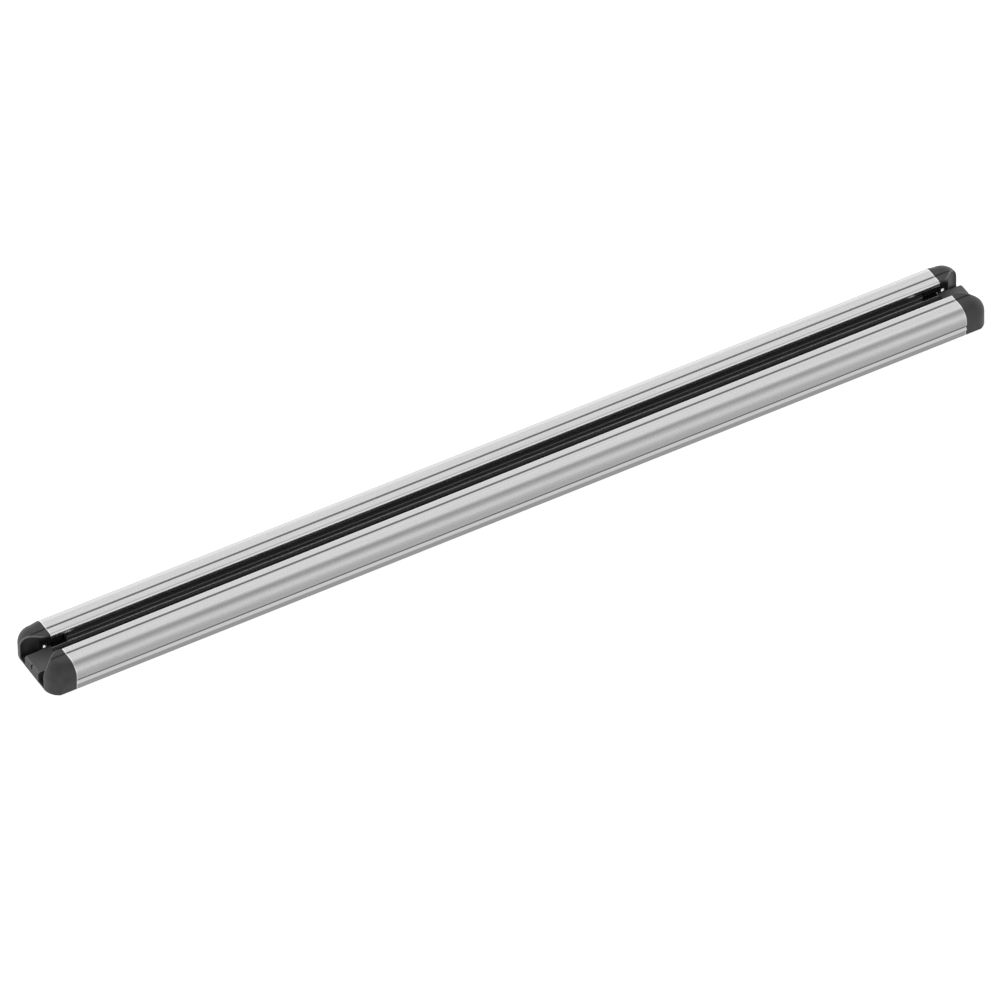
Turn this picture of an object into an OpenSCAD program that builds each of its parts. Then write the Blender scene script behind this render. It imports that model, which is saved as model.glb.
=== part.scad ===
// Wall-mounted magnetic knife rack: an aluminium rail with two raised bars, black end caps
// and rows of magnets hidden under the bars. It lies on its back: the wall face is z = 0,
// X runs along the rack, Y across it and Z out of the wall. All sizes are in millimetres.

/* [Rack] */
// Overall length, with both end caps
rack_length = 600; // [600:10:800]
// Overall width across the two bars
rack_width = 47.6; // [46.5:0.1:50]
// Height from the wall face to the top of the bars
rack_height = 17.6; // [17.3:0.1:18]
// Length of each end cap beyond the aluminium
cap_length = 15.7; // [15:0.1:17]

/* [Rail profile] */
// Clear width of the channel between the two bars
channel_width = 11.9; // [11.5:0.1:12.1]
// Height of the channel floor above the wall face
web_height = 6.7; // [6.4:0.1:7]
// Thickness of the channel floor
web_thickness = 1.5; // [1.2:0.1:2]
// Thickness of the outer walls
side_wall = 1.6; // [1.4:0.1:1.8]
// Thickness of the aluminium over the magnets
top_skin = 1.4; // [1.2:0.1:1.6]
// Radius of each bar's outer top edge
outer_radius = 7.5; // [7.3:0.1:7.7]
// Radius of each bar's inner top edge
lip_radius = 1.8; // [1:0.1:2.2]
// Depth of the turned-down inner lip, from the top of the bar
lip_depth = 3.1; // [2.8:0.1:3.3]
// Thickness of the turned-down inner lip
lip_thickness = 1.6; // [1.2:0.1:1.8]
// Radius of the fine grooves along the bars and sides
groove_radius = 0.7; // [0.4:0.05:0.75]
// Height of the plain foot band along each side
foot_height = 4.3; // [3.5:0.1:4.5]
// Depth to which the foot band is set back
foot_relief = 0.9; // [0.3:0.1:1]
// Depth of the slanted band above the foot, at its upper edge
band_depth = 1.2; // [0.6:0.1:1.2]

/* [Magnets] */
// Magnets in each bar
magnets_per_bar = 11; // [5:1:11]
// Length of one magnet
magnet_length = 48; // [30:1:48]
// Width of one magnet
magnet_width = 8; // [7:0.1:8]
// Thickness of the steel strip under the magnets
yoke_thickness = 1.5; // [1:0.1:2]

/* [Mounting] */
// Distance between the two screw holes
screw_spacing = 540; // [300:10:540]
// Diameter of the screw holes
screw_hole = 4.5; // [3.5:0.1:5]

/* [Hidden] */
SIDES = ["upper", "lower"];

$fn = 64;
cut = 1;

half_width = rack_width / 2;
half_rail = rack_length / 2 - cap_length;
lip_y = channel_width / 2;
lip_bottom = rack_height - lip_depth;
skin_bottom = rack_height - top_skin;

// Hump cavity, the two bays behind the channel floor, and the grooves
cavity_y = lip_y + lip_thickness;
cavity_end = half_width - side_wall;
cavity_radius = outer_radius - side_wall;
web_bottom = web_height - web_thickness;
rib_y = 7;
rib_thickness = 1.5;
top_groove_y = 11.5;
side_groove_z = 7.1;

// Channel strip, magnet trays, steel strips and magnets
strip_width = 12.6;
strip_thickness = 0.5;
tray_y = 7.4;
tray_wall = 2.3;
tray_top = 11.8;
tray_floor = 0.9;
tray_stop = 1.4;
bead_radius = 0.35;
bead_z = 9.5;
magnet_y = 8.3;
tray_end = magnet_y + magnet_width + tray_wall;
magnet_gap = 1.5;
magnet_pitch = magnet_length + magnet_gap;
magnet_row = magnets_per_bar * magnet_pitch;
yoke_z = web_height + tray_floor;
magnet_z = yoke_z + yoke_thickness;

// End cap: the rounded corner in plan, the rounded end seen from the side, the inner
// wall's curve and the wall thicknesses
corner_radius = 10;
end_radius = 9;
corner_x = cap_length - corner_radius;
corner_y = half_width - corner_radius;
curve_start = 2;
curve_rise = 8;
curve_steps = 24;
shell = 1.8;
inner_wall = 1.5;
hollow_top = rack_height - outer_radius + 2.3;

// Deck between the two fingers of an end cap, level with the channel strip
deck_y = 7.8;
deck_top = web_height + strip_thickness;
deck_thickness = 2.2;
deck_chamfer = 1;
deck_wall = 1.6;
notch_width = 1.2;
notch_depth = 0.8;
notch_bottom = 3.4;
base_start = 8;
base_thickness = 1.2;

// Pocket under each finger's lip, with its window, and the spigot that plugs the bar
pocket_length = 6.5;
pocket_wall = 1.3;
window_x = 1.9;
window_length = 2.2;
window_bottom = 6.8;
window_top = 9.8;
spigot_y = deck_y + pocket_wall;
spigot_reach = 9;
spigot_root = 2;
spigot_clearance = 0.1;

// A smooth rise from 0 to 1 while t goes from 0 to 1
function smooth(t) = t * t * (3 - 2 * t);

// Distance of a finger's inner wall from the middle line, x beyond the aluminium
function inner_y(x) =
    lip_y + curve_rise * smooth((x - curve_start) / (cap_length - curve_start));

// Extrudes a section drawn in Y and Z along X
module along_x(start, end) {
    translate([start, 0, 0])
        rotate([90, 0, 90])
            linear_extrude(height = end - start)
                children();
}

// A section drawn for one side, and its mirror image
module both_halves() {
    children();
    mirror([1, 0]) children();
}

// A solid drawn for one side of the rack: +Y is the upper side, -Y the lower
module on_side(side) {
    if (side == "upper") children();
    else mirror([0, 1, 0]) children();
}

module rectangle(x0, x1, y0, y1) {
    translate([x0, y0]) square([x1 - x0, y1 - y0]);
}

// Section of width w and height h with its top right edge rounded to radius r
module edge_section(w, h, r) {
    rectangle(0, w, 0, h - r);
    rectangle(0, w - r, 0, h);
    intersection() {
        translate([w - r, h - r]) circle(r);
        rectangle(w - r, w, h - r, h);
    }
}

// Outline of one bar, from the channel's lip to the outer wall
module bar_section() {
    difference() {
        translate([lip_y, 0])
            edge_section(half_width - lip_y, rack_height, outer_radius);
        difference() {
            rectangle(lip_y - cut, lip_y + lip_radius, rack_height - lip_radius, rack_height + cut);
            translate([lip_y + lip_radius, rack_height - lip_radius]) circle(lip_radius);
        }
    }
}

module top_groove_section() {
    translate([top_groove_y, rack_height]) circle(groove_radius);
}

// Everything that is taken out of one half of the rail
module rail_voids() {
    translate([cavity_y, web_height])
        edge_section(cavity_end - cavity_y, skin_bottom - web_height, cavity_radius);
    rectangle(lip_y - cut, cavity_y + cut, web_height, lip_bottom);
    rectangle(rib_y + rib_thickness, cavity_end, -cut, web_bottom);
    rectangle(half_width - foot_relief, half_width + cut, -cut, foot_height);
    polygon([
        [half_width, foot_height],
        [half_width - band_depth, side_groove_z],
        [half_width + cut, side_groove_z]
    ]);
    translate([half_width, side_groove_z]) circle(groove_radius);
    top_groove_section();
}

module rail_section() {
    difference() {
        union() {
            both_halves() bar_section();
            rectangle(-half_width, half_width, 0, web_height);
        }
        both_halves() rail_voids();
        rectangle(-rib_y, rib_y, -cut, web_bottom);
    }
}

module screw_holes() {
    for (x = [-screw_spacing / 2, screw_spacing / 2])
        translate([x, 0, -cut])
            cylinder(d = screw_hole, h = rack_height);
}

// Aluminium extrusion with two hollow bars and a sunk channel between them
module rail_body() {
    color("silver")
        difference() {
            along_x(-half_rail, half_rail) rail_section();
            screw_holes();
        }
}

// Black strip that lines the channel floor
module channel_strip() {
    color("#1c1c1e")
        difference() {
            along_x(-half_rail, half_rail)
                rectangle(-strip_width / 2, strip_width / 2, web_height, deck_top);
            screw_holes();
        }
}

// Open-topped tray that carries one bar's steel strip and magnets
module magnet_tray(side) {
    reach = magnet_row / 2 + tray_stop;
    color("#141415")
        on_side(side)
            difference() {
                along_x(-reach, reach) {
                    rectangle(tray_y, tray_end, web_height, tray_top);
                    translate([tray_y, bead_z]) circle(bead_radius);
                }
                along_x(-magnet_row / 2, magnet_row / 2)
                    rectangle(magnet_y, magnet_y + magnet_width, yoke_z, tray_top + cut);
            }
}

// Steel strip that closes the magnets' field on the wall side
module yoke_strip(side) {
    color("dimgray")
        on_side(side)
            along_x(-magnet_row / 2, magnet_row / 2)
                rectangle(magnet_y, magnet_y + magnet_width, yoke_z, magnet_z);
}

// Ferrite block, pressed up against the underside of the bar
module magnet(side, number) {
    start = (number - 1) * magnet_pitch - magnet_row / 2 + magnet_gap / 2;
    color("#3a3a3c")
        on_side(side)
            along_x(start, start + magnet_length)
                rectangle(magnet_y, magnet_y + magnet_width, magnet_z, skin_bottom);
}

// Outer form of a finger, before its inner wall is cut and it is hollowed.
// The cap modules below measure X from the end of the aluminium.
module finger_form() {
    difference() {
        union() {
            along_x(0, corner_x) bar_section();
            translate([corner_x, corner_y, 0])
                rotate_extrude(angle = 90)
                    edge_section(corner_radius, rack_height, end_radius);
            translate([corner_x, corner_y, 0])
                rotate([90, 0, 0])
                    linear_extrude(height = corner_y - lip_y)
                        edge_section(corner_radius, rack_height, end_radius);
        }
        along_x(-cut, cap_length + cut)
            polygon([
                [half_width, side_groove_z],
                [half_width - foot_relief, 0],
                [half_width - foot_relief, -cut],
                [half_width + cut, -cut],
                [half_width + cut, side_groove_z]
            ]);
    }
}

// Plan of the space on the channel side of a finger's inner wall, set back by an offset
module inner_side_plan(offset) {
    curve = [
        for (i = [0:curve_steps])
            let (x = curve_start + (cap_length - curve_start) * i / curve_steps)
                [x, inner_y(x) + offset]
    ];
    last = curve[curve_steps];
    polygon(concat(curve, [[last[0] + cut, last[1]], [last[0] + cut, 0], [curve_start, 0]]));
}

// Plan of the hollow inside a finger
module hollow_plan() {
    reach = corner_radius - shell;
    difference() {
        union() {
            rectangle(-cut, corner_x, deck_y + pocket_wall, corner_y + reach);
            rectangle(-cut, corner_x + reach, deck_y + pocket_wall, corner_y);
            translate([corner_x, corner_y]) circle(reach);
        }
        inner_side_plan(inner_wall);
    }
}

// Block that plugs the end of the bar and hangs from the finger's roof
module spigot() {
    along_x(-spigot_reach, spigot_root)
        rectangle(
            spigot_y,
            cavity_end - cavity_radius,
            web_height + spigot_clearance,
            skin_bottom - spigot_clearance
        );
}

// One of the cap's two fingers, which carry the bars' shape round to the end
module finger() {
    difference() {
        finger_form();
        translate([0, 0, -cut])
            linear_extrude(height = rack_height + 2 * cut)
                inner_side_plan(0);
        translate([0, 0, -cut])
            linear_extrude(height = hollow_top + cut)
                hollow_plan();
        along_x(-cut, pocket_length)
            rectangle(lip_y - cut, deck_y, deck_top, lip_bottom);
        along_x(window_x, window_x + window_length)
            rectangle(deck_y, deck_y + pocket_wall + cut, window_bottom, window_top);
        along_x(-cut, cap_length) top_groove_section();
    }
    spigot();
}

// Sunk deck between the fingers, with its side walls, end wall and the sheets beside it
module deck() {
    difference() {
        union() {
            translate([0, deck_y, 0])
                rotate([90, 0, 0])
                    linear_extrude(height = 2 * deck_y)
                        polygon([
                            [0, deck_top - deck_thickness],
                            [0, deck_top],
                            [cap_length - deck_chamfer, deck_top],
                            [cap_length, deck_top - deck_chamfer],
                            [cap_length, 0],
                            [cap_length - deck_wall, 0],
                            [cap_length - deck_wall, deck_top - deck_thickness]
                        ]);
            along_x(0, cap_length - deck_wall)
                both_halves() rectangle(deck_y - deck_wall, deck_y, 0, deck_top);
            along_x(base_start, cap_length)
                both_halves()
                    rectangle(deck_y - deck_wall, inner_y(cap_length) + inner_wall / 2, 0, base_thickness);
        }
        along_x(cap_length - notch_depth, cap_length + cut)
            rectangle(-notch_width / 2, notch_width / 2, notch_bottom, deck_top + cut);
    }
}

// Black moulded end cap
module end_cap() {
    color("#2b2b2d")
        translate([half_rail, 0, 0]) {
            finger();
            mirror([0, 1, 0]) finger();
            deck();
        }
}

module end_cap_right() {
    end_cap();
}

module end_cap_left() {
    mirror([1, 0, 0]) end_cap();
}

rail_body();
channel_strip();
end_cap_left();
end_cap_right();
for (side = SIDES) {
    magnet_tray(side);
    yoke_strip(side);
    for (i = [1:magnets_per_bar])
        magnet(side, i);
}
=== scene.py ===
import math

import bmesh
import bpy
import numpy as np
from mathutils import Matrix, Vector
from mathutils.geometry import tessellate_polygon


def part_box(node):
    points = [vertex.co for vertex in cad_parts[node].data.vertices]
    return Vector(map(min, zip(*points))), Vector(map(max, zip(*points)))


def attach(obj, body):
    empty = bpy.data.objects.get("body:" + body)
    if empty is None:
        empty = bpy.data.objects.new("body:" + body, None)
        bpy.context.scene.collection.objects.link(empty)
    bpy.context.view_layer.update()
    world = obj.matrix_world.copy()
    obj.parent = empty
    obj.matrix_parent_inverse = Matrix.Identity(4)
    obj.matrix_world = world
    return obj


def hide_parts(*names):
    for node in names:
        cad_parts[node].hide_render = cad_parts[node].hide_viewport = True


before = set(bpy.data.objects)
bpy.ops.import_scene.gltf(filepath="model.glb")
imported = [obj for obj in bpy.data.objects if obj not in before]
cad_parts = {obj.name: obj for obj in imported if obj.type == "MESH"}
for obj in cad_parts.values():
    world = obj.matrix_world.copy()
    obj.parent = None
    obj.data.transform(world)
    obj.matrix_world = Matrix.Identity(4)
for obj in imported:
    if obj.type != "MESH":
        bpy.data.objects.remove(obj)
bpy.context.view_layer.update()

# Visual model of the magnetic knife rack. Lengths in this file are in millimetres and are
# turned into metres by MM where a mesh is made. Sizes come from the frame's boxes; the
# section's small radii repeat those of the rack's design.

MM = 0.001


def box_mm(node):
    """A node's lowest and highest corners, in millimetres."""
    low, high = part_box(node)
    return [v / MM for v in low], [v / MM for v in high]


# ---------------------------------------------------------------- driving dimensions

_, RAIL_HIGH = box_mm("rail_body")
_, CAP_HIGH = box_mm("end_cap_right")
STRIP_LOW, STRIP_HIGH = box_mm("channel_strip")
_, TRAY_HIGH = box_mm("magnet_tray_upper")
MAGNET_LOW, MAGNET_HIGH = box_mm("magnet_upper_1")

HALF_RAIL = RAIL_HIGH[0]
HALF_WIDTH = RAIL_HIGH[1]
TOP = RAIL_HIGH[2]
CAP_LENGTH = CAP_HIGH[0] - HALF_RAIL

OUTER_RADIUS = 7.5
LIP_RADIUS = 1.8
LIP_Y = 5.95
LIP_BOTTOM = TOP - 3.1
LIP_THICKNESS = 1.6
SIDE_WALL = 1.6
SKIN_BOTTOM = MAGNET_HIGH[2]
WEB_TOP = STRIP_LOW[2]
RIB_Y = 7.0
RIB_THICKNESS = 1.5
GROOVE_RADIUS = 0.7
TOP_GROOVE_Y = 11.5
SIDE_GROOVE_Z = 7.1
SIDE_GROOVE_INSET = 0.15
FOOT_HEIGHT = 4.3
FOOT_RELIEF = 0.9
BAND_DEPTH = 1.2
DECK_TOP = STRIP_HIGH[2]
WEB_THICKNESS = 1.5
BEAD_Z = 9.5
BEAD_RADIUS = 0.35
TRAY_STOP = 1.4
WEB_BOTTOM = WEB_TOP - WEB_THICKNESS
SCREW_X = 270.0
SCREW_HOLE_RADIUS = 2.25
JUNCTION_HIGHLIGHT_REACH = 0.7
SHADED_FLOOR_Y = 7.1
PAINTED_LIGHT_STRIP_Y = 4.3

MAGNETS = [f"magnet_{bar}_{i}" for bar in ("upper", "lower") for i in range(1, 12)]


# ---------------------------------------------------------------- node-tree helpers

class Tree:
    """A material's node tree, with short calls for making and joining nodes."""

    def __init__(self, name):
        self.material = bpy.data.materials.new(name)
        self.material.use_nodes = True
        self.tree = self.material.node_tree
        self.tree.nodes.clear()
        self.out = self.node("ShaderNodeOutputMaterial")
        self.shader = self.node("ShaderNodeBsdfPrincipled")
        self.link(self.shader.outputs["BSDF"], self.out.inputs["Surface"])
        self.place = self.node("ShaderNodeTexCoord").outputs["Object"]

    def node(self, kind, **settings):
        made = self.tree.nodes.new(kind)
        for key, value in settings.items():
            setattr(made, key, value)
        return made

    def link(self, source, target):
        self.tree.links.new(source, target)

    def set(self, **values):
        """Constant values on the shader's own sockets; _ stands for a space."""
        for key, value in values.items():
            self.shader.inputs[key.replace("_", " ")].default_value = value

    def feed(self, socket, value):
        if isinstance(value, bpy.types.NodeSocket):
            self.link(value, socket)
        else:
            socket.default_value = value

    def stretched(self, scale):
        """The object's coordinates in metres, times a scale per axis."""
        mapping = self.node("ShaderNodeMapping", vector_type="POINT")
        mapping.inputs["Scale"].default_value = scale
        self.link(self.place, mapping.inputs["Vector"])
        return mapping.outputs["Vector"]

    def noise(self, scale, detail=2.0, rough=0.5):
        made = self.node("ShaderNodeTexNoise")
        made.inputs["Scale"].default_value = 1.0
        made.inputs["Detail"].default_value = detail
        made.inputs["Roughness"].default_value = rough
        self.link(self.stretched(scale), made.inputs["Vector"])
        return made.outputs["Fac"]

    def remap(self, value, low, high, to_low, to_high):
        made = self.node("ShaderNodeMapRange")
        made.inputs["From Min"].default_value = low
        made.inputs["From Max"].default_value = high
        made.inputs["To Min"].default_value = to_low
        made.inputs["To Max"].default_value = to_high
        self.link(value, made.inputs["Value"])
        return made.outputs["Result"]

    def math(self, operation, a, b):
        made = self.node("ShaderNodeMath", operation=operation)
        self.feed(made.inputs[0], a)
        self.feed(made.inputs[1], b)
        return made.outputs[0]

    def mix(self, factor, a, b):
        made = self.node("ShaderNodeMix", data_type="RGBA")
        self.feed(made.inputs["Factor"], factor)
        self.feed(made.inputs["A"], a)
        self.feed(made.inputs["B"], b)
        return made.outputs["Result"]

    def bump(self, height, distance, strength=1.0, normal=None):
        made = self.node("ShaderNodeBump")
        made.inputs["Distance"].default_value = distance
        made.inputs["Strength"].default_value = strength
        self.link(height, made.inputs["Height"])
        if normal is not None:
            self.link(normal, made.inputs["Normal"])
        return made.outputs["Normal"]

    def below(self, value, edge, soft=0.1):
        """1 where a coordinate is under an edge in millimetres, 0 above it."""
        return self.remap(value, (edge - soft) * MM, (edge + soft) * MM, 1.0, 0.0)

    def above(self, value, edge, soft=0.1):
        return self.remap(value, (edge - soft) * MM, (edge + soft) * MM, 0.0, 1.0)

    def within(self, value, centre, reach):
        over = self.above(value, centre - reach)
        return self.math("MULTIPLY", over, self.below(value, centre + reach))

    def axis(self, name):
        parts = self.node("ShaderNodeSeparateXYZ")
        self.link(self.place, parts.inputs["Vector"])
        return parts.outputs[name]


def grey(value):
    return (value, value, value * 1.005, 1.0)


# ---------------------------------------------------------------- materials

def satin_aluminium():
    """Brushed and anodised: fine streaks along X and a soft mottle, with the grooves painted dark as
    painted shade and the lip, slanted band and cut ends painted white as painted highlights.
    The foot is rougher and painted darker as painted shade; the floor inside the channel is rough mill
    finish, painted lighter as painted light, and painted near black as painted shade past the trays."""
    t = Tree("satin_aluminium")
    streak = t.noise((45, 5200, 5200), detail=3.0, rough=0.65)
    band = t.noise((6, 900, 900), detail=2.0)
    grain = t.noise((900, 2600, 2600), detail=2.0, rough=0.7)
    mottle = t.noise((30, 60, 60), detail=2.0)
    height = t.axis("Z")
    along = t.math("ABSOLUTE", t.axis("X"), 0.0)
    across = t.math("ABSOLUTE", t.axis("Y"), 0.0)

    foot = t.below(height, FOOT_HEIGHT)
    inside = t.math("MULTIPLY", t.below(across, HALF_WIDTH - SIDE_WALL + 0.1), t.below(height, LIP_BOTTOM))
    top_groove_shade = t.within(across, TOP_GROOVE_Y, GROOVE_RADIUS)
    top_groove_shade = t.math("MULTIPLY", top_groove_shade, t.below(height, TOP - 0.05))
    side_groove_shade = t.math("MULTIPLY", t.within(height, SIDE_GROOVE_Z - 0.25, GROOVE_RADIUS),
                         t.within(across, HALF_WIDTH - 0.6, 0.55))
    lip = t.math("MULTIPLY", t.below(across, LIP_Y + LIP_RADIUS), t.above(height, LIP_BOTTOM))
    lip = t.math("MULTIPLY", lip, t.below(height, TOP - 0.08, 0.05))
    floor_end_shade = t.math("MULTIPLY", t.above(across, SHADED_FLOOR_Y), t.above(along, TRAY_HIGH[0]))
    floor_end_shade = t.math("MULTIPLY", inside, floor_end_shade)
    band_highlight = t.below(height, SIDE_GROOVE_Z - GROOVE_RADIUS)
    band_highlight = t.math("MULTIPLY", t.above(height, FOOT_HEIGHT), band_highlight)
    junction_highlight = t.above(along, HALF_RAIL - JUNCTION_HIGHLIGHT_REACH)

    tone = t.math("ADD", t.remap(streak, 0.3, 0.7, -0.12, 0.12), t.remap(band, 0.3, 0.7, -0.1, 0.1))
    tone = t.math("ADD", tone, t.remap(grain, 0.3, 0.7, -0.2, 0.2))
    colour = t.mix(t.math("ADD", tone, 0.5), grey(0.62), grey(0.86))
    # The foot band is painted darker (grey 0.46) as painted shade near the floor; its extra roughness is a
    # duller finish.
    colour = t.mix(t.math("MULTIPLY", foot, 0.55), colour, grey(0.46))
    # The slanted band above the foot is painted lighter as a painted highlight.
    colour = t.mix(t.math("MULTIPLY", band_highlight, 0.45), colour, grey(1.0))
    # The lip's rounded edge is painted white as a painted highlight.
    colour = t.mix(t.math("MULTIPLY", lip, 0.9), colour, grey(1.0))
    # Inside the channel the colour is painted lighter (grey 1.0) as painted light on shaded faces; the
    # added roughness is a mill finish.
    colour = t.mix(t.math("MULTIPLY", inside, 0.9), colour, grey(1.0))
    # The channel floor past the trays is painted near black (grey 0.04) as painted shade.
    colour = t.mix(floor_end_shade, colour, grey(0.04))
    # The grooves are painted dark (grey 0.16) as painted shade in the creases.
    colour = t.mix(t.math("MULTIPLY", top_groove_shade, 0.8), colour, grey(0.16))
    colour = t.mix(t.math("MULTIPLY", side_groove_shade, 0.9), colour, grey(0.16))
    # A narrow band at each cut end is painted white as a painted highlight by the cap's joint.
    colour = t.mix(t.math("MULTIPLY", junction_highlight, 0.8), colour, grey(1.0))
    t.link(colour, t.shader.inputs["Base Color"])

    rough = t.remap(streak, 0.3, 0.7, 0.20, 0.28)
    rough = t.math("ADD", rough, t.remap(mottle, 0.3, 0.7, -0.02, 0.02))
    rough = t.math("ADD", rough, t.math("MULTIPLY", foot, 0.08))
    t.link(t.math("ADD", rough, t.math("MULTIPLY", inside, 0.45)), t.shader.inputs["Roughness"])

    fine = t.bump(grain, 0.004 * MM)
    t.link(t.bump(streak, 0.006 * MM, normal=fine), t.shader.inputs["Normal"])
    t.set(Metallic=1.0)
    return t.material


def moulded_plastic(name, tone, rough):
    """Black plastic with a fine spark-eroded texture; the deck's upward faces are painted lighter as
    painted light, the inner walls are painted darker as painted shade, and the rims carry a painted
    highlight.
    """
    t = Tree(name)
    erode = t.noise((2400, 2400, 2400), detail=3.0, rough=0.6)
    cloud = t.noise((160, 160, 160), detail=3.0)
    scuff = t.noise((250, 900, 900), detail=4.0, rough=0.7)
    worn = t.remap(scuff, 0.58, 0.72, 0.0, 0.25)
    facing = t.node("ShaderNodeSeparateXYZ")
    t.link(t.node("ShaderNodeTexCoord").outputs["Normal"], facing.inputs["Vector"])
    inward = t.math("MULTIPLY", facing.outputs["Y"], t.math("SIGN", t.axis("Y"), 0.0))
    across = t.math("ABSOLUTE", t.axis("Y"), 0.0)
    # Inward-facing walls of the fingers are painted dark as painted shade.
    wall = t.math("MULTIPLY", t.remap(inward, -0.12, -0.5, 0.0, 1.0), t.below(t.axis("Z"), TOP - 1.0, 0.6))
    # The deck's upward faces are painted four times lighter as painted light.
    deck = t.math("MULTIPLY", t.below(across, DECK_Y), t.below(t.axis("Z"), DECK_TOP + 0.3))
    deck = t.math("MULTIPLY", deck, t.remap(facing.outputs["Z"], 0.3, 0.8, 0.0, 1.0))
    # This attribute places a painted highlight along the fingers' inner edges.
    rim_highlight = t.node("ShaderNodeAttribute", attribute_name="rim_highlight").outputs["Fac"]

    base = t.mix(t.remap(cloud, 0.3, 0.7, 0.0, 1.0), grey(tone * 0.8), grey(tone * 1.2))
    base = t.mix(worn, base, grey(tone * 2.2))
    base = t.mix(wall, base, grey(tone * 0.12))
    base = t.mix(t.math("MULTIPLY", deck, 0.9), base, grey(tone * 4.0))
    t.link(t.mix(rim_highlight, base, grey(tone * 6.0)), t.shader.inputs["Base Color"])
    t.link(t.math("ADD", t.remap(erode, 0.3, 0.7, rough - 0.05, rough + 0.05),
                  t.remap(cloud, 0.3, 0.7, -0.03, 0.03)), t.shader.inputs["Roughness"])
    t.link(t.bump(erode, 0.02 * MM), t.shader.inputs["Normal"])
    t.set(IOR=1.5)
    return t.material


def extruded_plastic(name, tone, rough, paler):
    """Black plastic with the die's faint lines along X, painted paler as painted light where a mask marks
    it.
    """
    t = Tree(name)
    line = t.noise((12, 3600, 3600), detail=3.0, rough=0.6)
    dust = t.noise((500, 700, 700), detail=4.0, rough=0.7)
    base = t.mix(t.remap(line, 0.3, 0.7, 0.0, 1.0), grey(tone * 0.8), grey(tone * 1.2))
    # The masked part is painted four times paler as painted light.
    base = t.mix(paler(t), base, grey(tone * 4.0))
    t.link(t.mix(t.remap(dust, 0.62, 0.8, 0.0, 0.3), base, grey(tone * 3.0)), t.shader.inputs["Base Color"])
    t.link(t.remap(line, 0.3, 0.7, rough - 0.06, rough + 0.06), t.shader.inputs["Roughness"])
    t.link(t.bump(line, 0.01 * MM), t.shader.inputs["Normal"])
    t.set(IOR=1.5)
    return t.material


def strip_edges(t):
    """Mask of the channel strip's outer parts, which are painted paler as painted light."""
    return t.above(t.math("ABSOLUTE", t.axis("Y"), 0.0), PAINTED_LIGHT_STRIP_Y, 0.4)


def tray_bead(t):
    """Mask of the bead along a tray's inner wall, which is painted paler as a painted highlight."""
    return t.within(t.axis("Z"), BEAD_Z + 0.1, BEAD_RADIUS)


def plated_steel():
    """Zinc-plated strip: rolled grain along X and cloudy passivation."""
    t = Tree("plated_steel")
    grain = t.noise((25, 1800, 1800), detail=3.0, rough=0.6)
    cloud = t.noise((120, 200, 200), detail=3.0)
    t.link(t.mix(t.remap(cloud, 0.3, 0.7, 0.0, 1.0), (0.38, 0.38, 0.40, 1), (0.55, 0.54, 0.50, 1)),
           t.shader.inputs["Base Color"])
    t.link(t.remap(grain, 0.3, 0.7, 0.3, 0.45), t.shader.inputs["Roughness"])
    t.link(t.bump(grain, 0.01 * MM), t.shader.inputs["Normal"])
    t.set(Metallic=1.0)
    return t.material


def sintered_ferrite():
    """Dark ground ceramic with a fine grit and small pores."""
    t = Tree("sintered_ferrite")
    grit = t.noise((1800, 1800, 1800), detail=4.0, rough=0.7)
    cloud = t.noise((90, 90, 90), detail=3.0)
    t.link(t.mix(t.remap(cloud, 0.3, 0.7, 0.0, 1.0), (0.035, 0.034, 0.034, 1), (0.075, 0.074, 0.078, 1)),
           t.shader.inputs["Base Color"])
    t.link(t.remap(grit, 0.3, 0.7, 0.55, 0.75), t.shader.inputs["Roughness"])
    t.link(t.bump(grit, 0.03 * MM), t.shader.inputs["Normal"])
    return t.material


# ---------------------------------------------------------------- meshes from sections

def arc(centre, radius, start, end, steps=10):
    """Points along an arc, angles in degrees."""
    angles = [math.radians(start + (end - start) * i / steps) for i in range(steps + 1)]
    return [(centre[0] + radius * math.cos(a), centre[1] + radius * math.sin(a)) for a in angles]


def softened(points, radius, steps=3, sharpest=35.0):
    """The closed outline with each corner sharper than the angle rounded off."""
    out = []
    count = len(points)
    for i, corner in enumerate(points):
        here = Vector(corner)
        back = Vector(points[i - 1]) - here
        ahead = Vector(points[(i + 1) % count]) - here
        turn = math.degrees(math.pi - back.angle(ahead))
        if turn < sharpest:
            out.append(tuple(here))
            continue
        reach = min(radius, 0.45 * back.length, 0.45 * ahead.length)
        first = here + back.normalized() * reach
        last = here + ahead.normalized() * reach
        for k in range(steps + 1):
            t = k / steps
            out.append(tuple(first * (1 - t) ** 2 + here * 2 * t * (1 - t) + last * t ** 2))
    return out


def mirrored_loop(half):
    """Closes a half outline whose ends lie on the middle line; those two points are dropped."""
    inner = half[1:-1]
    return inner + [(-y, z) for y, z in reversed(inner)]


def finish_mesh(name, mesh, material, sharp=38.0):
    """A smooth-shaded object from a mesh, with crisp edges kept and even normals."""
    mesh.materials.append(material)
    mesh.polygons.foreach_set("use_smooth", [True] * len(mesh.polygons))
    mesh.set_sharp_from_angle(angle=math.radians(sharp))
    made = bpy.data.objects.new(name, mesh)
    bpy.context.scene.collection.objects.link(made)
    even = made.modifiers.new("even_normals", "WEIGHTED_NORMAL")
    even.keep_sharp = True
    return made


def inset(points, amount):
    """The closed outline moved inwards by a small amount, point for point."""
    moved = []
    count = len(points)
    for i in range(count):
        here = Vector(points[i])
        a = (here - Vector(points[i - 1])).normalized()
        b = (Vector(points[(i + 1) % count]) - here).normalized()
        normal = Vector((-(a.y + b.y), a.x + b.x))
        if normal.length < 1e-6:
            normal = Vector((-a.y, a.x))
        normal.normalize()
        moved.append(tuple(here + normal * amount))
    return moved


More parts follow.
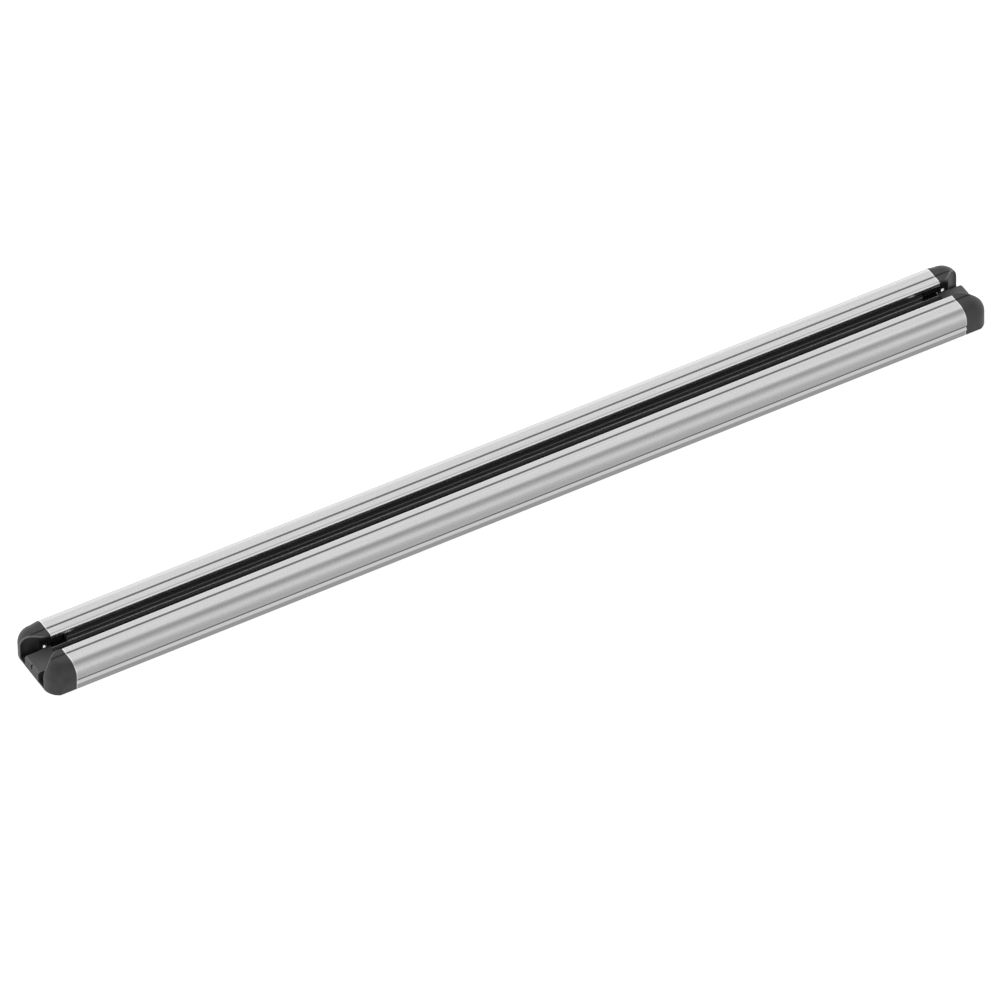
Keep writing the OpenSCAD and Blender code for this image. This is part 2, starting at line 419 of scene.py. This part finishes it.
def swept(name, outline, start, end, chamfer=0.12):
    """A mesh swept along X from an outline in Y and Z that runs anticlockwise."""
    tucked = inset(outline, chamfer)
    rings = [(start, tucked), (start + chamfer, outline), (end - chamfer, outline), (end, tucked)]
    verts = [(x * MM, y * MM, z * MM) for x, ring in rings for y, z in ring]
    count = len(outline)
    faces = []
    for r in range(len(rings) - 1):
        for i in range(count):
            j = (i + 1) % count
            faces.append((r * count + i, r * count + j, (r + 1) * count + j, (r + 1) * count + i))
    cap = tessellate_polygon([[Vector((y, z, 0)) for y, z in tucked]])
    last = (len(rings) - 1) * count
    faces += [tuple(tri) for tri in cap]
    faces += [tuple(last + k for k in tri) for tri in cap]
    mesh = bpy.data.meshes.new(name)
    mesh.from_pydata(verts, [], faces)
    tidy = bmesh.new()
    tidy.from_mesh(mesh)
    bmesh.ops.recalc_face_normals(tidy, faces=tidy.faces)
    tidy.to_mesh(mesh)
    tidy.free()
    return mesh


def drilled(mesh, radius, places, top):
    """The mesh with vertical round holes cut through it."""
    body = bpy.data.objects.new("drilling", mesh)
    bpy.context.scene.collection.objects.link(body)
    cutter_mesh = bpy.data.meshes.new("drill")
    shape = bmesh.new()
    for x in places:
        ring = bmesh.ops.create_cone(
            shape, cap_ends=True, segments=64, radius1=radius * MM, radius2=radius * MM,
            depth=2 * top * MM)
        bmesh.ops.translate(shape, verts=ring["verts"], vec=(x * MM, 0, 0))
    shape.to_mesh(cutter_mesh)
    shape.free()
    cutter = bpy.data.objects.new("drill", cutter_mesh)
    bpy.context.scene.collection.objects.link(cutter)
    cut = body.modifiers.new("cut", "BOOLEAN")
    cut.operation = "DIFFERENCE"
    cut.solver = "EXACT"
    cut.object = cutter
    bpy.context.view_layer.update()
    result = bpy.data.meshes.new_from_object(body.evaluated_get(bpy.context.evaluated_depsgraph_get()))
    for extra in (body, cutter):
        bpy.data.objects.remove(extra)
    return result


def rail_outline():
    """The extrusion's section, one closed line that runs in and out of both hollow bars."""
    wall = HALF_WIDTH - SIDE_WALL
    flat = HALF_WIDTH - OUTER_RADIUS
    inner = OUTER_RADIUS - SIDE_WALL
    foot = HALF_WIDTH - FOOT_RELIEF
    rib = RIB_Y + RIB_THICKNESS
    half = [(0, WEB_BOTTOM), (RIB_Y, WEB_BOTTOM), (RIB_Y, 0), (rib, 0), (rib, WEB_BOTTOM)]
    half += [(wall, WEB_BOTTOM), (wall, 0), (foot, 0), (foot, FOOT_HEIGHT), (HALF_WIDTH, FOOT_HEIGHT)]
    band_height = SIDE_GROOVE_Z - FOOT_HEIGHT
    band_left = 0.75
    slant = math.degrees(math.atan2(BAND_DEPTH, band_height))
    half += [(HALF_WIDTH - BAND_DEPTH * band_left, FOOT_HEIGHT + band_height * band_left)]
    half += arc((HALF_WIDTH - SIDE_GROOVE_INSET, SIDE_GROOVE_Z), GROOVE_RADIUS, 230 - slant, 90)
    half += [(HALF_WIDTH, SIDE_GROOVE_Z + GROOVE_RADIUS + 0.1)]
    half += arc((flat, TOP - OUTER_RADIUS), OUTER_RADIUS, 0, 90, 24)
    half += arc((TOP_GROOVE_Y, TOP), GROOVE_RADIUS, 0, -180)
    half += arc((LIP_Y + LIP_RADIUS, TOP - LIP_RADIUS), LIP_RADIUS, 90, 180)
    cavity = LIP_Y + LIP_THICKNESS
    half += [(LIP_Y, LIP_BOTTOM), (cavity, LIP_BOTTOM), (cavity, SKIN_BOTTOM)]
    half += arc((wall - inner, SKIN_BOTTOM - inner), inner, 90, 0)
    half += [(wall, WEB_TOP), (0, WEB_TOP)]
    return softened(mirrored_loop(half), 0.14)


def make_rail(material):
    mesh = swept("rail", rail_outline(), -HALF_RAIL, HALF_RAIL)
    mesh = drilled(mesh, SCREW_HOLE_RADIUS, (-SCREW_X, SCREW_X), WEB_TOP + 1)
    return finish_mesh("rail", mesh, material)


def make_strip(material):
    """The channel strip, crowned a little along its edges."""
    half = STRIP_HIGH[1]
    edge = 0.2
    outline = [(-half, WEB_TOP), (half, WEB_TOP), (half, DECK_TOP - edge), (half - edge, DECK_TOP),
               (-half + edge, DECK_TOP), (-half, DECK_TOP - edge)]
    mesh = swept("strip", softened(outline, 0.1), STRIP_LOW[0], STRIP_HIGH[0], 0.08)
    mesh = drilled(mesh, SCREW_HOLE_RADIUS, (-SCREW_X, SCREW_X), DECK_TOP + 1)
    return finish_mesh("strip", mesh, material)


def make_tray(bar, material):
    """A magnet tray with its bead and the stops at its ends."""
    low, high = box_mm("magnet_tray_" + bar)
    yoke_low, _ = box_mm("yoke_strip_" + bar)
    side = 1 if bar == "upper" else -1
    near = min(abs(low[1]), abs(high[1])) + BEAD_RADIUS
    far = max(abs(low[1]), abs(high[1]))
    pocket = (MAGNET_LOW[1], MAGNET_HIGH[1])
    floor = yoke_low[2]
    bead = arc((near, BEAD_Z), BEAD_RADIUS, 90, 270, 8)
    outline = [(near, low[2]), (far, low[2]), (far, high[2]), (pocket[1], high[2]), (pocket[1], floor),
               (pocket[0], floor), (pocket[0], high[2]), (near, high[2])]
    outline += bead
    solid = [(near, low[2]), (far, low[2]), (far, high[2]), (near, high[2])] + bead
    outline = [(side * y, z) for y, z in softened(outline, 0.12)]
    solid = [(side * y, z) for y, z in softened(solid, 0.12)]
    parts = [
        swept("tray", outline[::side], low[0] + TRAY_STOP, high[0] - TRAY_STOP, 0.01),
        swept("tray", solid[::side], low[0], low[0] + TRAY_STOP, 0.1),
        swept("tray", solid[::side], high[0] - TRAY_STOP, high[0], 0.1),
    ]
    joined = bmesh.new()
    for part in parts:
        joined.from_mesh(part)
        bpy.data.meshes.remove(part)
    mesh = bpy.data.meshes.new("tray_" + bar)
    joined.to_mesh(mesh)
    joined.free()
    return finish_mesh("tray_" + bar, mesh, material)


def make_block(name, node, bevel, material, segments=3):
    """A ground or sheared block in a node's box, with its edges broken."""
    low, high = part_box(node)
    shape = bmesh.new()
    bmesh.ops.create_cube(shape, size=1.0)
    for v in shape.verts:
        v.co = Vector([low[k] + (v.co[k] + 0.5) * (high[k] - low[k]) for k in range(3)])
    bmesh.ops.bevel(shape, geom=shape.edges[:], offset=bevel * MM, segments=segments,
                    profile=0.5, affect="EDGES")
    mesh = bpy.data.meshes.new(name)
    shape.to_mesh(mesh)
    shape.free()
    return finish_mesh(name, mesh, material)


# ---------------------------------------------------------------- end caps from a distance field

# Sizes of one cap; x runs from the end of the aluminium to the cap's end
CORNER_RADIUS = 10.0
END_RADIUS = 9.0
CURVE_START = 2.0
CURVE_RISE = 8.0
SHELL = 1.8
INNER_WALL = 1.5
HOLLOW_TOP = TOP - OUTER_RADIUS + 2.3
DECK_Y = 7.8
DECK_THICKNESS = 2.2
DECK_CHAMFER = 1.0
DECK_WALL = 1.6
NOTCH_HALF = 0.6
NOTCH_DEPTH = 0.8
NOTCH_BOTTOM = 3.4
BASE_START = 8.0
BASE_THICKNESS = 1.2
POCKET_LENGTH = 6.5
POCKET_WALL = 1.3
WINDOW = (1.9, 4.1, 6.8, 9.8)
SPIGOT_Y = DECK_Y + POCKET_WALL
SPIGOT_REACH = 9.0
SPIGOT_ROOT = 2.0
SPIGOT_CLEARANCE = 0.1
SOFT = 0.35
CRISP = 0.12


def round_cut(a, b, radius):
    """Intersection of two fields, with its convex edges rounded."""
    outer = np.hypot(np.maximum(a + radius, 0), np.maximum(b + radius, 0))
    return np.minimum(-radius, np.maximum(a, b)) + outer


def round_join(a, b, radius):
    """Union of two fields, with its inside corners filleted."""
    return -round_cut(-a, -b, radius)


def slab(v, low, high):
    return np.maximum(low - v, v - high)


def block(x, y, z, low, high, radius=CRISP):
    """A box field with rounded edges."""
    field = round_cut(slab(x, low[0], high[0]), slab(y, low[1], high[1]), radius)
    return round_cut(field, slab(z, low[2], high[2]), radius)


def plan_distance(x, y, shrink=0.0):
    """Signed distance in plan to a cap's outer outline, pulled in by a shell's thickness."""
    px = x - (CAP_LENGTH - CORNER_RADIUS)
    py = y - (HALF_WIDTH - CORNER_RADIUS)
    corner = np.hypot(np.maximum(px, 0), np.maximum(py, 0)) + np.minimum(np.maximum(px, py), 0)
    return corner - (CORNER_RADIUS - shrink)


def rise(x):
    """How far a finger's inner wall has swung out at x, and its slope."""
    t = np.clip((x - CURVE_START) / (CAP_LENGTH - CURVE_START), 0, 1)
    slope = 6 * t * (1 - t) * CURVE_RISE / (CAP_LENGTH - CURVE_START)
    return LIP_Y + CURVE_RISE * t * t * (3 - 2 * t), slope


def edge_radius(x):
    """Radius of the top edge, which grows from the bar's own to the rounded end's."""
    t = np.clip(x / (CAP_LENGTH - CORNER_RADIUS), 0, 1)
    return OUTER_RADIUS + (END_RADIUS - OUTER_RADIUS) * t * t * (3 - 2 * t)


def cap_field(x, y, z):
    """Signed distance to a cap's surface: x beyond the aluminium, y across, z up."""
    y = np.abs(y)
    inner, slope = rise(x)
    channel = (inner - y) / np.sqrt(1 + slope ** 2)

    plan = plan_distance(x, y)
    form = round_cut(plan, z - TOP, edge_radius(x))
    form = round_cut(form, y - HALF_WIDTH + FOOT_RELIEF * (1 - z / SIDE_GROOVE_Z), CRISP)
    lip = LIP_RADIUS + (SOFT - LIP_RADIUS) * np.clip(x / 4.0, 0, 1)
    finger = round_cut(form, channel, lip)
    finger = round_cut(finger, -z, CRISP)
    finger = round_cut(finger, -x, CRISP)

    groove = np.hypot(y - TOP_GROOVE_Y, z - TOP) - GROOVE_RADIUS
    finger = round_cut(finger, -groove, CRISP)

    hollow = round_cut(plan_distance(x, y, SHELL), channel + INNER_WALL, SOFT)
    hollow = round_cut(hollow, DECK_Y + POCKET_WALL - y, SOFT)
    hollow = round_cut(hollow, z - HOLLOW_TOP, 1.0)
    finger = round_cut(finger, -hollow, CRISP)

    pocket = round_cut(x - POCKET_LENGTH, y - DECK_Y, SOFT)
    pocket = round_cut(pocket, slab(z, DECK_TOP, LIP_BOTTOM), SOFT)
    finger = round_cut(finger, -pocket, 0.2)
    window = block(x, y, z, (WINDOW[0], DECK_Y - 0.6, WINDOW[2]),
                   (WINDOW[1], DECK_Y + POCKET_WALL + 1, WINDOW[3]), 0.5)
    window = np.maximum(window, DECK_Y - y)
    finger = round_cut(finger, -window, CRISP)

    spigot = block(x, y, z, (-SPIGOT_REACH, SPIGOT_Y, WEB_TOP + SPIGOT_CLEARANCE),
                   (SPIGOT_ROOT, HALF_WIDTH - OUTER_RADIUS, SKIN_BOTTOM - SPIGOT_CLEARANCE), 0.5)
    finger = np.minimum(finger, spigot)

    slope_cut = (x - CAP_LENGTH + z - DECK_TOP + DECK_CHAMFER) / math.sqrt(2)
    deck = round_cut(slab(x, 0, CAP_LENGTH), slab(z, DECK_TOP - DECK_THICKNESS, DECK_TOP), CRISP)
    wall = round_cut(slab(x, CAP_LENGTH - DECK_WALL, CAP_LENGTH), slab(z, 0, DECK_TOP), CRISP)
    side = round_cut(slab(x, 0, CAP_LENGTH), slab(y, DECK_Y - DECK_WALL, DECK_Y), CRISP)
    side = round_cut(side, slab(z, 0, DECK_TOP), CRISP)
    tub = round_join(round_join(deck, wall, SOFT), side, SOFT)
    tub = round_cut(tub, y - DECK_Y, CRISP)
    tub = round_cut(tub, slope_cut, CRISP)
    notch = block(x, y, z, (CAP_LENGTH - NOTCH_DEPTH, -NOTCH_HALF, NOTCH_BOTTOM),
                  (CAP_LENGTH + 1, NOTCH_HALF, DECK_TOP + 1), 0.3)
    tub = round_cut(tub, -notch, CRISP)

    base = block(x, y, z, (BASE_START, DECK_Y - DECK_WALL, 0),
                 (CAP_LENGTH, rise(CAP_LENGTH)[0] + INNER_WALL / 2, BASE_THICKNESS))
    base = round_cut(base, plan, CRISP)
    cap = round_join(tub, base, 0.2)
    return round_join(finger, cap, 0.2)


def rim_strength(x, y, z):
    """How near a point is to the edge where a finger's inner wall meets its outside; this places the caps'
    painted rim highlight.
    """
    inner, slope = rise(x)
    wall = (inner - np.abs(y)) / np.sqrt(1 + slope ** 2)
    outside = round_cut(plan_distance(x, np.abs(y)), z - TOP, edge_radius(x))
    past_pocket = np.clip((x - CURVE_START) / 3, 0, 1)
    return np.exp(-((wall + 0.2) / 0.35) ** 2 - ((outside + 0.2) / 0.35) ** 2) * past_pocket


def surface_net(field, low, cell):
    """Vertices and quads of the zero surface of a sampled field."""
    inside = field < 0
    shape = np.array(field.shape) - 1
    crossing_sum = np.zeros(tuple(shape) + (3,))
    crossing_count = np.zeros(tuple(shape))
    corner = [(i, j, k) for i in (0, 1) for j in (0, 1) for k in (0, 1)]

    def part(values, c):
        return values[c[0]:c[0] + shape[0], c[1]:c[1] + shape[1], c[2]:c[2] + shape[2]]

    for a in corner:
        for axis in range(3):
            if a[axis]:
                continue
            b = tuple(a[k] + (k == axis) for k in range(3))
            fa, fb = part(field, a), part(field, b)
            cross = part(inside, a) != part(inside, b)
            t = np.where(cross, fa / np.where(cross, fa - fb, 1), 0)
            place = np.empty(tuple(shape) + (3,))
            for k in range(3):
                place[..., k] = a[k] + (t if k == axis else 0)
            crossing_sum += place * cross[..., None]
            crossing_count += cross
    used = crossing_count > 0
    index = np.full(tuple(shape), -1)
    index[used] = np.arange(used.sum())
    cells = np.argwhere(used)
    verts = low + (cells + crossing_sum[used] / crossing_count[used][:, None]) * cell

    quads = []
    for axis in range(3):
        u, v = [(1, 2), (2, 0), (0, 1)][axis]
        ahead = [slice(None)] * 3
        here = [slice(None)] * 3
        here[axis] = slice(0, -1)
        ahead[axis] = slice(1, None)
        differ = inside[tuple(here)] != inside[tuple(ahead)]
        spots = np.argwhere(differ)
        spots = spots[np.all((spots[:, [u, v]] > 0) & (spots[:, [u, v]] < shape[[u, v]]), axis=1)]
        step_u = np.eye(3, dtype=int)[u]
        step_v = np.eye(3, dtype=int)[v]
        around = [spots, spots - step_u, spots - step_u - step_v, spots - step_v]
        quad = np.stack([index[tuple(s.T)] for s in around], axis=1)
        facing = inside[tuple(spots.T)]
        quad[~facing] = quad[~facing][:, ::-1]
        quads.append(quad)
    return verts, np.concatenate(quads)


def gradient(points, step):
    """Direction in which the cap's field grows fastest, and the field itself."""
    value = cap_field(*points.T)
    grown = []
    for k in range(3):
        shift = np.zeros(3)
        shift[k] = step
        grown.append((cap_field(*(points + shift).T) - cap_field(*(points - shift).T)) / (2 * step))
    slope = np.stack(grown, axis=1)
    return value, slope


def make_caps(material):
    """Both caps from one field: the left is the mirror image of the right."""
    cell = 0.25
    low = np.array([-SPIGOT_REACH - 0.6, -HALF_WIDTH - 0.6, -0.6]) + 0.013
    high = np.array([CAP_LENGTH + 0.6, HALF_WIDTH + 0.6, TOP + 0.6])
    count = np.ceil((high - low) / cell).astype(int) + 1
    grid = np.meshgrid(*[low[k] + cell * np.arange(count[k]) for k in range(3)], indexing="ij")
    verts, quads = surface_net(cap_field(*grid), low, cell)
    for _ in range(4):
        value, slope = gradient(verts, 0.02)
        steep = np.maximum((slope ** 2).sum(axis=1), 0.25)
        verts = verts - 0.8 * slope * np.clip(value / steep, -0.5 * cell, 0.5 * cell)[:, None]
    verts = np.clip(verts, (-SPIGOT_REACH, -HALF_WIDTH, 0), (CAP_LENGTH, HALF_WIDTH, TOP))
    # Strength of the painted rim highlight, kept per vertex.
    rim_highlight = rim_strength(*verts.T)
    caps = []
    for side, name in ((1, "cap_right"), (-1, "cap_left")):
        placed = verts.copy()
        placed[:, 0] = side * (placed[:, 0] + HALF_RAIL)
        turned = quads if side == 1 else quads[:, ::-1]
        mesh = bpy.data.meshes.new(name)
        mesh.from_pydata((placed * MM).tolist(), [], turned.tolist())
        mesh.attributes.new("rim_highlight", "FLOAT", "POINT").data.foreach_set("value", rim_highlight)
        caps.append(finish_mesh(name, mesh, material, sharp=50.0))
    return caps


# ---------------------------------------------------------------- floor, light and camera

# Dome brightness by the height of the direction, from straight down at -1 to straight up at 1
DOME_BACK = ((-1.0, 0.5), (-0.5, 0.8), (0.0, 1.05), (0.35, 1.05), (0.69, 0.84), (0.88, 0.92), (0.97, 0.5))
DOME_FRONT = ((-1.0, 0.5), (-0.6, 0.52), (-0.15, 0.6), (0.2, 0.8), (0.5, 0.76), (0.75, 0.52), (0.9, 0.38))


def make_floor():
    mesh = bpy.data.meshes.new("floor")
    reach = 12.0
    corners = [(-reach, -reach, 0), (reach, -reach, 0), (reach, reach, 0), (-reach, reach, 0)]
    mesh.from_pydata(corners, [], [(0, 1, 2, 3)])
    floor = bpy.data.objects.new("floor", mesh)
    floor.location.z = -0.0002
    floor.visible_glossy = False
    bpy.context.scene.collection.objects.link(floor)
    t = Tree("pale_floor")
    cloud = t.noise((2, 2, 2), detail=3.0)
    t.link(t.mix(t.remap(cloud, 0.3, 0.7, 0.0, 1.0), grey(0.80), grey(0.84)), t.shader.inputs["Base Color"])
    t.set(Roughness=0.9, Specular_IOR_Level=0.1, Emission_Color=(1, 1, 1, 1), Emission_Strength=0.75)
    mesh.materials.append(t.material)


def make_light():
    """A soft studio dome: a bright wall behind and in front, a dimmer ceiling, a grey fill below."""
    world = bpy.data.worlds.new("studio")
    world.use_nodes = True
    tree = world.node_tree
    bpy.context.scene.world = world
    way = tree.nodes.new("ShaderNodeTexCoord")
    parts = tree.nodes.new("ShaderNodeSeparateXYZ")
    tree.links.new(way.outputs["Generated"], parts.inputs["Vector"])
    sides = []
    for stops in (DOME_BACK, DOME_FRONT):
        height = tree.nodes.new("ShaderNodeMapRange")
        height.inputs["From Min"].default_value = -1
        tree.links.new(parts.outputs["Z"], height.inputs["Value"])
        ramp = tree.nodes.new("ShaderNodeValToRGB")
        ramp.color_ramp.interpolation = "EASE"
        for _ in stops[2:]:
            ramp.color_ramp.elements.new(0.5)
        for element, (z, level) in zip(ramp.color_ramp.elements, stops):
            element.position = (z + 1) / 2
            element.color = (level, level, level, 1)
        tree.links.new(height.outputs["Result"], ramp.inputs["Fac"])
        sides.append(ramp.outputs["Color"])
    turn = tree.nodes.new("ShaderNodeMapRange")
    turn.interpolation_type = "SMOOTHSTEP"
    turn.inputs["From Min"].default_value = 0.2
    turn.inputs["From Max"].default_value = -0.2
    tree.links.new(parts.outputs["Y"], turn.inputs["Value"])
    blend = tree.nodes.new("ShaderNodeMix")
    blend.data_type = "RGBA"
    tree.links.new(turn.outputs["Result"], blend.inputs["Factor"])
    tree.links.new(sides[0], blend.inputs["A"])
    tree.links.new(sides[1], blend.inputs["B"])
    tree.links.new(blend.outputs["Result"], tree.nodes["Background"].inputs["Color"])


def make_camera():
    """A long lens from the front left and above, tipped a little about its own axis."""
    azimuth, elevation, roll = math.radians(-28.618), math.radians(42.922), math.radians(-1.309)
    distance = 7.959
    half_view = 0.27846
    back = Vector((math.sin(azimuth) * math.cos(elevation), -math.cos(azimuth) * math.cos(elevation),
                   math.sin(elevation)))
    level = Vector((math.cos(azimuth), math.sin(azimuth), 0))
    rising = back.cross(level)
    right = level * math.cos(roll) + rising * math.sin(roll)
    up = rising * math.cos(roll) - level * math.sin(roll)
    target = right * -0.003756 + up * -0.007992
    data = bpy.data.cameras.new("camera")
    data.sensor_width = 36
    data.lens = distance * data.sensor_width / (2 * half_view)
    data.clip_end = 100
    camera = bpy.data.objects.new("camera", data)
    camera.location = target + back * distance
    camera.rotation_euler = Matrix((right, up, back)).transposed().to_euler()
    bpy.context.scene.collection.objects.link(camera)
    bpy.context.scene.camera = camera
    bpy.context.scene.view_settings.view_transform = "Standard"


# ---------------------------------------------------------------- assembly

def stand_in(piece, node):
    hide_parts(node)
    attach(piece, "root")


make_camera()
make_light()
make_floor()

aluminium = satin_aluminium()
cap_plastic = moulded_plastic("cap_plastic", 0.035, 0.42)
strip_plastic = extruded_plastic("strip_plastic", 0.022, 0.45, strip_edges)
tray_plastic = extruded_plastic("tray_plastic", 0.05, 0.4, tray_bead)
steel = plated_steel()
ferrite = sintered_ferrite()

stand_in(make_rail(aluminium), "rail_body")
stand_in(make_strip(strip_plastic), "channel_strip")
for bar in ("upper", "lower"):
    stand_in(make_tray(bar, tray_plastic), "magnet_tray_" + bar)
    stand_in(make_block("yoke_" + bar, "yoke_strip_" + bar, 0.15, steel), "yoke_strip_" + bar)
for node in MAGNETS:
    stand_in(make_block("block_" + node, node, 0.4, ferrite), node)
right_cap, left_cap = make_caps(cap_plastic)
stand_in(right_cap, "end_cap_right")
stand_in(left_cap, "end_cap_left")
